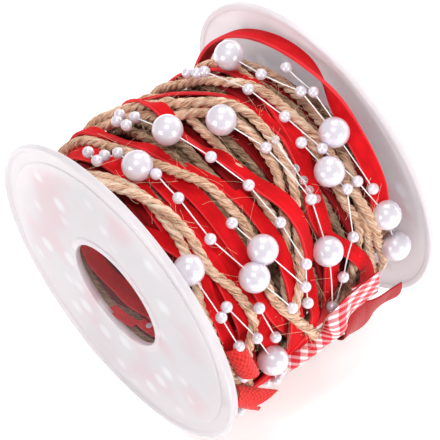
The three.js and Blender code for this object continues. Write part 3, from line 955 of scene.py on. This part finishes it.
# %% Strings in the picture
strings = [
    "s69,-26.8 s76,-27.6 s76,-25.2 s79,-22.5 L89,-22.1 s96,-20.3 s108,-20.5 s126,-20.6 L146,-16.2 s164,-10.7",
    "s60,-11.9 s63,-14.3 s69,-14.2 s68,-10.9 L84,-9.1 s103,-6.6 s119,-3.9 s136,-2.6 s153,-2.5 s167,-5.8",
    "s64,9.1 s68,10.1 s70,11.6 s90,14.3 s107,15.7 s124,18.1 s141,21.5 L159,25.1 L175,25.8 s200,16.0",
    "L94,2.6 s112,6.1 s136,7.9 L156,5.5 s182,3.0",
    "L71,19.6 s88,20.0 s103,23.8 L122,23.3 s147,24.5",
    "s92,26.0 s106,26.3 s121,25.4",
    "s118,14.5 L132,16.1 s141,17.9 s158,13.9 s171,7.7 s186,4.0",
    "L130,-29.9 s151,-28.7 s166,-27.2 s180,-28.5",
    "s149,-26.2 s166,-22.5 L183,-18.8 s200,-17.0",
    "s126,-13.5 L140,-10.5 s160,-5.2",
    "s156,-19.0 s173,-16.7",
    "c112,9.0 c124,8.6 c129,8.9 c133,8.8 c137,9.2",
]
print("strings in the picture:", len(strings))


# %% Read a string and seat its beads
def read_string(text):
    """The beads of one string as (kind, angle, x)."""
    beads = []
    for word in text.split():
        angle, x = word[1:].split(",")
        beads.append((word[0], float(angle), float(x)))
    return beads


bead_sizes = {"L": large_pearl, "s": small_pearl, "c": clear_bead}


def in_picture(angle):
    """Whether that side of the roll shows in the picture."""
    return 55 < angle < 205


def seat_radius(kind, angle, x):
    """The radius of a bead's centre, seated a little into the roll and kept off the floor."""
    spread = 3 if kind == "L" else 1
    around = [
        heights[column(x + dx), int(round(angle + da)) % 360]
        for dx in (-spread * 0.7, 0, spread * 0.7)
        for da in (-spread, 0, spread)
    ]
    if kind == "L":
        lowest, highest = (41.4, 42.6) if in_picture(angle) else (39, 41.2)
        return min(max(float(np.mean(around)) + large_pearl * 0.34, lowest), highest)
    lowest, highest = (41.2 if in_picture(angle) else 30), 43.4
    return min(max(float(np.max(around)) + bead_sizes[kind] * 0.42, lowest), highest)


# %% [markdown]
# The strings on the far side can't be seen in the picture. They continue in the same rhythm,
# one large pearl to every five small ones, and wander from side to side in slow waves.

# %% Strings on the far side
for string in range(7):
    beads = []
    for place in range(10):
        angle = 208 + 17 * place + 3 * math.sin(2.3 * place + string)
        x = np.clip(-28 + 9.2 * string + 2.6 * math.sin(1.3 * place + 2.1 * string), -30, 30)
        kind = "L" if place % 6 == 2 + string % 3 else "s"
        beads.append(f"{kind}{angle:.1f},{x:.1f}")
    strings.append(" ".join(beads))
print("strings in all:", len(strings))


# %% Make the pearls and their line
def make_bead(size, detail, place):
    """One round bead, as large as it is across, with its place in its mesh."""
    deselect_all()
    bpy.ops.mesh.primitive_ico_sphere_add(
        subdivisions=detail, radius=size / 2 * MM, location=Vector(place) * MM)
    bead = bpy.context.object
    bpy.ops.object.transform_apply(location=True, rotation=True, scale=True)
    return bead


def line_between(start, end, start_place, end_place):
    """Points of the line from one bead to the next, lifted over what it crosses."""
    t = np.linspace(0, 1, 11)
    angle = start[1] + (end[1] - start[1]) * t
    x = start[2] + (end[2] - start[2]) * t
    radius = start_place[2] + (end_place[2] - start_place[2]) * t - 0.6 * np.sin(math.pi * t)
    under = np.array([heights[column(x[i]), int(round(angle[i])) % 360] for i in range(11)]) + 0.3
    radius[1:-1] = np.maximum(radius, under)[1:-1]
    for _ in range(3):
        radius[1:-1] = radius[1:-1] / 2 + (radius[:-2] + radius[2:]) / 4
    return list(zip(x, angle, radius))[1:-1]


large_beads, small_beads, clear_beads, line_routes = [], [], [], []
for text in strings:
    beads = read_string(text)
    places = [(x, angle, seat_radius(kind, angle, x)) for kind, angle, x in beads]
    route = []
    for number, ((kind, angle, x), place) in enumerate(zip(beads, places)):
        centre = on_roll(*place)
        if kind == "L":
            large_beads.append(make_bead(large_pearl, 4, centre))
        elif kind == "c":
            clear_beads.append(make_bead(clear_bead, 3, centre))
        else:
            small_beads.append(make_bead(small_pearl, 3 if in_picture(angle) else 2, centre))
        route.append(place)
        if number + 1 < len(beads):
            route += line_between(beads[number], beads[number + 1], place, places[number + 1])
    line_routes.append([on_roll(*place) for place in route])
print("large pearls:", len(large_beads), "small pearls:", len(small_beads))


def make_cords(name, routes, width, resolution=1):
    """Thin round cords along several routes, as one mesh."""
    curve = bpy.data.curves.new(name, "CURVE")
    curve.dimensions = "3D"
    curve.bevel_depth = width / 2 * MM
    curve.bevel_resolution = resolution
    curve.use_fill_caps = True
    for route in routes:
        spline = curve.splines.new("POLY")
        spline.points.add(len(route) - 1)
        for point, place in zip(spline.points, route):
            point.co = (*(Vector(place) * MM), 1)
    piece = bpy.data.objects.new(name, curve)
    bpy.context.collection.objects.link(piece)
    only(piece)
    bpy.ops.object.convert(target="MESH")
    return bpy.context.object


pearls = join_pieces("large_pearls", large_beads)
hand_over(pearls, pearl, ["winding"], 180)
beads_piece = join_pieces("small_pearls", small_beads)
hand_over(beads_piece, pearl, ["winding"], 180)
clear_piece = join_pieces("clear_beads", clear_beads)
hand_over(clear_piece, bead_glass, ["winding"], 180)
line_piece = make_cords("bead_line", line_routes, line_width)
hand_over(line_piece, bead_line_white, ["winding"], 60)

# %% [markdown]
# Stray fibres
#
# Jute is hairy. Fine fibres stand off every turn of twine, curl, and cross the ribbons beside
# it. Each is a thin bent cord that starts in a ply and leaves it at a low angle. They are
# many, so each has only a few points and four sides.

# %% Grow the fibres
fibre_random = random.Random(5)


def stray_fibres(count, shortest, longest, lift, curl):
    """Routes of fibres that leave the twine along its run and bend away."""
    routes = []
    for _ in range(count):
        line, run, across, out = fibre_random.choice(twine_lines)
        at = fibre_random.randrange(len(line))
        length = fibre_random.uniform(shortest, longest)
        side = fibre_random.uniform(-1, 1)
        start = line[at] + across[at] * side * 1.2 + out[at] * (1.3 - 0.6 * abs(side))
        direction = run[at] * fibre_random.choice((-1, 1))
        direction = direction + across[at] * side * fibre_random.uniform(0.2, 1.2)
        direction = direction + out[at] * fibre_random.uniform(0.1, lift)
        direction = direction / np.linalg.norm(direction)
        bend = across[at] * fibre_random.uniform(-curl, curl) + run[at] * fibre_random.uniform(-0.5, 0.5)
        bend = bend - out[at] * fibre_random.uniform(0.1, 0.6)
        turn = fibre_random.uniform(-curl, curl)
        route = []
        for t in np.linspace(0, 1, 3 + round(length * 0.7)):
            point = start + direction * length * t + bend * length * (0.5 * t * t + turn * t ** 3 / 2)
            point[0] = np.clip(point[0], -winding_reach, winding_reach)
            route.append(point)
        routes.append(route)
    return routes


fibres = make_cords("jute_fibres", stray_fibres(700, 4.0, 11.0, 0.5, 1.3), fibre_width, 0)
hand_over(fibres, pale_fibre, ["winding"], 60)
fuzz = make_cords("jute_fuzz", stray_fibres(2200, 1.0, 2.6, 1.0, 0.9), fuzz_width, 0)
hand_over(fuzz, pale_fibre, ["winding"], 60)

# %% [markdown]
# Inside the roll
#
# Through the clear tube one sees the first turns that were wound: ribbon and twine, dark in
# the shade of the roll; the twine there has the darker jute, which is painted shade. They are
# wound on a plain ring, which also closes the gaps between the strands of the bed. The ring is a
# much darker red than the ribbon: painted shade for those gaps.

# %% The core of the winding
core_inside = 20.9
core_reach = 33.2
core_section = [
    (core_inside, -core_reach), (form_radius(-core_reach, 90) - bed_depth - 0.6, -core_reach),
    (form_radius(0, 90) - bed_depth - 0.6, 0),
    (form_radius(core_reach, 90) - bed_depth - 3.6, core_reach), (core_inside, core_reach),
]
core = spin_section("inner_turns", core_section, tube_steps)
hand_over(core, core_ring_shade_red, ["winding"], 30)


def core_ribbon(x, radius, width):
    """A turn of ribbon round the tube, with its x and radius at each angle of the map."""
    u = np.linspace(-1, 1, 4)[None, :]
    points = on_roll(x[::4, None] + u * width / 2, turn_angles[::4, None] + 0 * u, radius[::4, None] + 0 * u)
    return thicken(lay_grid("core", points, width, math.tau * 18), 0.5, 0)


first_layer = 18.35
core_random = random.Random(3)
core_ribbons = []
for number in range(9):
    middle = -21.6 + 5.4 * number
    lean = core_random.uniform(-1.6, 1.6)
    route = middle + lean * np.sin(np.radians(turn_angles) + core_random.uniform(0, math.tau))
    height = first_layer + 0.8 * (number % 2)
    core_ribbons.append(core_ribbon(route, np.full(len(route), height), velvet_width))
print("turns of ribbon on the tube:", len(core_ribbons))

# %% [markdown]
# Close to the discs the first turns are easy to see through the hole: a ribbon that runs round
# slightly aslant, twine beside it, a second ribbon that passes over the twine, and one bead.

# %% The turns seen through the hole
first_ribbon = [[-90, -24.9], [-66, -26.8], [-57, -27], [-39, -28.2], [-21, -29.4], [0, -30], [60, -30],
                [150, -27], [270, -24.9]]
second_ribbon = [[-98, -29.3], [-83, -31.6], [-70, -32.4], [0, -32], [120, -31], [200, -29], [262, -29.3]]
second_height = [[-90, 18.1], [-66, 18.2], [-52, 21.5], [30, 21.5], [120, 18.3], [270, 18.1]]
first_twine = [[-90, -28.6], [-79, -29.5], [-61, -31.6], [-39, -32.2], [-22, -32.2], [60, -31.5],
               [150, -30.5], [270, -28.6]]
second_twine = [[-90, -32.2], [-50, -32.2], [90, -29.5], [230, -31.8], [270, -32.2]]
first_ribbon_radius, first_ribbon_width = 18.2, 4.6
second_ribbon_width = 2.8
first_twine_radius = 19.5

core_twines, core_beads = [], []
for side in (-1, 1):
    x = -side * smooth_route(first_ribbon, turn_angles)
    core_ribbons.append(core_ribbon(x, np.full(len(x), first_ribbon_radius), first_ribbon_width))
    x = -side * smooth_route(second_ribbon, turn_angles)
    core_ribbons.append(core_ribbon(x, smooth_route(second_height, turn_angles), second_ribbon_width))
    for knots in (first_twine, second_twine):
        x = -side * smooth_route(knots, turn_angles)
        height = np.full(len(x), first_twine_radius)
        core_twines.append(twist_twine("core_twine", x, height, 20 + side, 3.0, 6))
    core_beads.append(make_bead(small_pearl, 3, on_roll(side * 28.6, 260.6, 19.0)))
core_ribbon_piece = join_pieces("core_velvet", core_ribbons)
hand_over(core_ribbon_piece, velvet, ["winding"])
core_twine_piece = join_pieces("core_twine", core_twines)
hand_over(core_twine_piece, shaded_jute, ["winding"])
core_bead_piece = join_pieces("core_beads", core_beads)
hand_over(core_bead_piece, pearl, ["winding"], 180)

# %% [markdown]
# The loose turn and the loose ends
#
# Where a ribbon has come off the roll, its shape is a row of stations: x, angle and radius of
# its middle, how far it is rolled about its own run, how wide it looks there, and how much
# it is crowned. Where a ribbon looks narrower than it is cut, it curls, so that its width
# measured round the curl stays the same.


# %% Shape a ribbon from its stations
def through_stations(stations, rows):
    """Each value of the stations, carried smoothly over the given number of rows."""
    stations = np.array([(*station, 0)[:6] for station in stations], float)
    at = np.arange(len(stations))
    places = np.linspace(0, len(stations) - 1, rows)
    return [smooth_route(list(zip(at, values)), places) for values in stations.T]


def curl_angle(share):
    """Half the angle of an arc whose chord is that share of its length."""
    angle = math.sqrt(6 * max(1e-6, 1 - share))
    for _ in range(8):
        slope = (angle * math.cos(angle) - math.sin(angle)) / angle ** 2
        angle -= (math.sin(angle) / angle - share) / slope
    return angle


def ribbon_points(stations, width, rows, columns, tips=None):
    """Rows of points across a loose ribbon."""
    x, angle, radius, roll, seen, crown = through_stations(stations, rows)
    line = on_roll(x, angle, radius)
    run = np.gradient(line, axis=0)
    run /= np.linalg.norm(run, axis=1, keepdims=True)
    out = on_roll(x, angle, radius + 1) - line
    across = np.cross(run, out)
    across /= np.linalg.norm(across, axis=1, keepdims=True)
    out = np.cross(across, run)
    roll = np.radians(roll)[:, None]
    wide = across * np.cos(roll) + out * np.sin(roll)
    up = out * np.cos(roll) - across * np.sin(roll)
    points = np.empty((rows, columns, 3))
    for row in range(rows):
        half_arc = curl_angle(min(0.999, seen[row] / width))
        curl_radius = width / 2 / half_arc
        for number, u in enumerate(np.linspace(-1, 1, columns)):
            sideways = curl_radius * math.sin(half_arc * u)
            rise = curl_radius * (math.cos(half_arc * u) - math.cos(half_arc))
            rise = rise if crown[row] >= 0 else -rise
            points[row, number] = line[row] + wide[row] * sideways + up[row] * rise
            if tips is not None:
                reach = np.interp(u, np.linspace(-1, 1, len(tips)), tips)
                share = max(0, (row / (rows - 1) - 0.45) / 0.55)
                points[row, number] += run[row] * reach * share
    length = float(np.sum(np.linalg.norm(np.diff(line, axis=0), axis=1)))
    return points, length


def make_ribbon(name, node, material, stations, width, thickness, rows, columns, tips=None, back=None):
    """A loose ribbon as a finished piece, with the length of its middle."""
    points, length = ribbon_points(stations, width, rows, columns, tips)
    piece = lay_grid(name, points, width, length)
    piece.data.materials.append(material)
    if back:
        piece.data.materials.append(back)
    thicken(piece, thickness, 0.12, 1 if back else 0)
    hand_over(piece, material, [node])
    print(name, "is", round(length, 1), "mm long")
    return piece, length


# %% The loose turn of velvet
full = velvet_width
loop_stations = [
    (27, 2, 38.3, 2, full), (28, 22, 38.2, 6, full), (29.6, 44, 39, 10, full), (30.6, 64, 39.6, 12, full),
    (31, 82, 40.6, 15, full), (30.8, 94, 41.4, 28, full), (30, 104, 41.6, 62, full),
    (28.8, 114, 41.4, 108, full), (27.6, 125, 41.2, 142, full), (27, 136, 41, 158, full),
    (26.2, 148, 40.6, 166, full),
    (24, 158, 40.4, 170, full), (22.6, 165, 40, 172, full),
]
make_ribbon("loose_velvet", "loose_loop", velvet, loop_stations, velvet_width,
            velvet_thickness, 90, 6)

# %% The loose ends of ribbon, where W is the full width
W = ribbon_width
gingham_stations = [
    (17.4, 182.6, 43.4, 2, W), (12.4, 182.6, 43.4, 2, W), (7, 183, 43.5, 0, W),
    (2.6, 184.8, 43.8, -10, 0.85 * W), (-0.2, 188, 44.2, -60, 0.45 * W),
    (-3.4, 190, 44.4, -92, 0.3 * W), (-6.6, 191.5, 44.4, -100, 0.26 * W),
    (-10.4, 193, 44, -104, 0.24 * W), (-14, 194.5, 43.4, -106, 0.22 * W),
]
# The back and cut edges of the gingham are the darker plain red: painted shade in the fold.
gingham_piece, gingham_length = make_ribbon(
    "gingham_end", "gingham_ribbon", gingham, gingham_stations, W, ribbon_thickness, 60, 17,
    back=plain_red_and_fold_shade)

tail_stations = [
    (23.6, 195.2, 45, 4, 0.95 * W), (20, 194.6, 44.9, 4, W), (16.2, 195, 44.7, 0, W),
    (12.4, 195.4, 44.6, -16, W),
    (8.6, 194.6, 44.4, -16, 0.95 * W), (5.2, 193, 44.1, -12, 0.8 * W), (2.6, 192, 43.9, -8, 0.6 * W),
]
tail_piece, tail_length = make_ribbon(
    "wavy_end", "red_tail", plain_red_and_fold_shade, tail_stations, W, ribbon_thickness, 48, 13)

upper_stations = [
    (-27.9, 167, 38.4, 0, 0.46 * W), (-27.7, 171, 39.6, 0, 0.46 * W), (-27.4, 175, 40.2, 0, 0.46 * W),
    (-27, 179, 40.8, 0, 0.44 * W),
]
upper_piece, upper_length = make_ribbon(
    "pointed_end", "woven_end_upper", red_weave, upper_stations, W, ribbon_thickness, 28, 13,
    tips=[5.5, 2.5, 1, 0, -0.8])

lower_stations = [
    (-32.5, 186, 41.3, 2, 0.5 * W), (-30, 189.4, 42.4, 4, 0.55 * W, 0.3),
    (-27.5, 192.4, 43.8, 5, 0.6 * W, 0.4),
    (-25.2, 195, 45, 6, 0.62 * W, 0.3),
]
lower_piece, lower_length = make_ribbon(
    "swallowtail_end", "woven_end_lower", red_weave, lower_stations, W, ribbon_thickness, 24, 13,
    tips=[4.8, 0.8, -3.2, 0, 3])

# %% [markdown]
# The four wider ends are listed with the flat size that each was cut to, and with what it
# rests on, and the cut size of each is printed. A pointed cut leaves about a quarter of the
# cloth in its tip.

for piece, length, tip, held in (
    (gingham_piece, gingham_length, 0, "folded"), (tail_piece, tail_length, 0, "hung"),
    (upper_piece, upper_length, 5.5, "laid"), (lower_piece, lower_length, 4.5, "hung"),
):
    print(piece.name, "was cut to", ribbon_width, "by", round(length + tip, 1), "mm")

# %% [markdown]
# The floor
#
# A plain pale sheet, a hair below the roll so that the flat feet of the discs don't flicker
# against it.

# %% Lay the floor
deselect_all()
bpy.ops.mesh.primitive_plane_add(size=6, location=(0, 0, -0.02 * MM))
floor = bpy.context.object
floor.name = "floor"
floor_material, nodes, links, shader = new_material("floor_paper")
tooth = add_node(nodes, "ShaderNodeTexNoise", inputs={"Scale": 900.0, "Detail": 2.0})
links.new(mapped(nodes, links, "Object", (1, 1, 1)), tooth.inputs["Vector"])
paper = ramp_between(nodes, [(0.3, (0.93, 0.93, 0.93)), (0.7, (0.95, 0.95, 0.95))])
links.new(tooth.outputs["Fac"], paper.inputs["Fac"])
links.new(paper.outputs["Color"], shader.inputs["Base Color"])
set_finish(shader, roughness=0.9, specular_ior_level=0.1, emission_strength=0.38)
shader.inputs["Emission Color"].default_value = (1, 1, 1, 1)
floor.data.materials.append(floor_material)
print("floor laid at", floor.location.z)
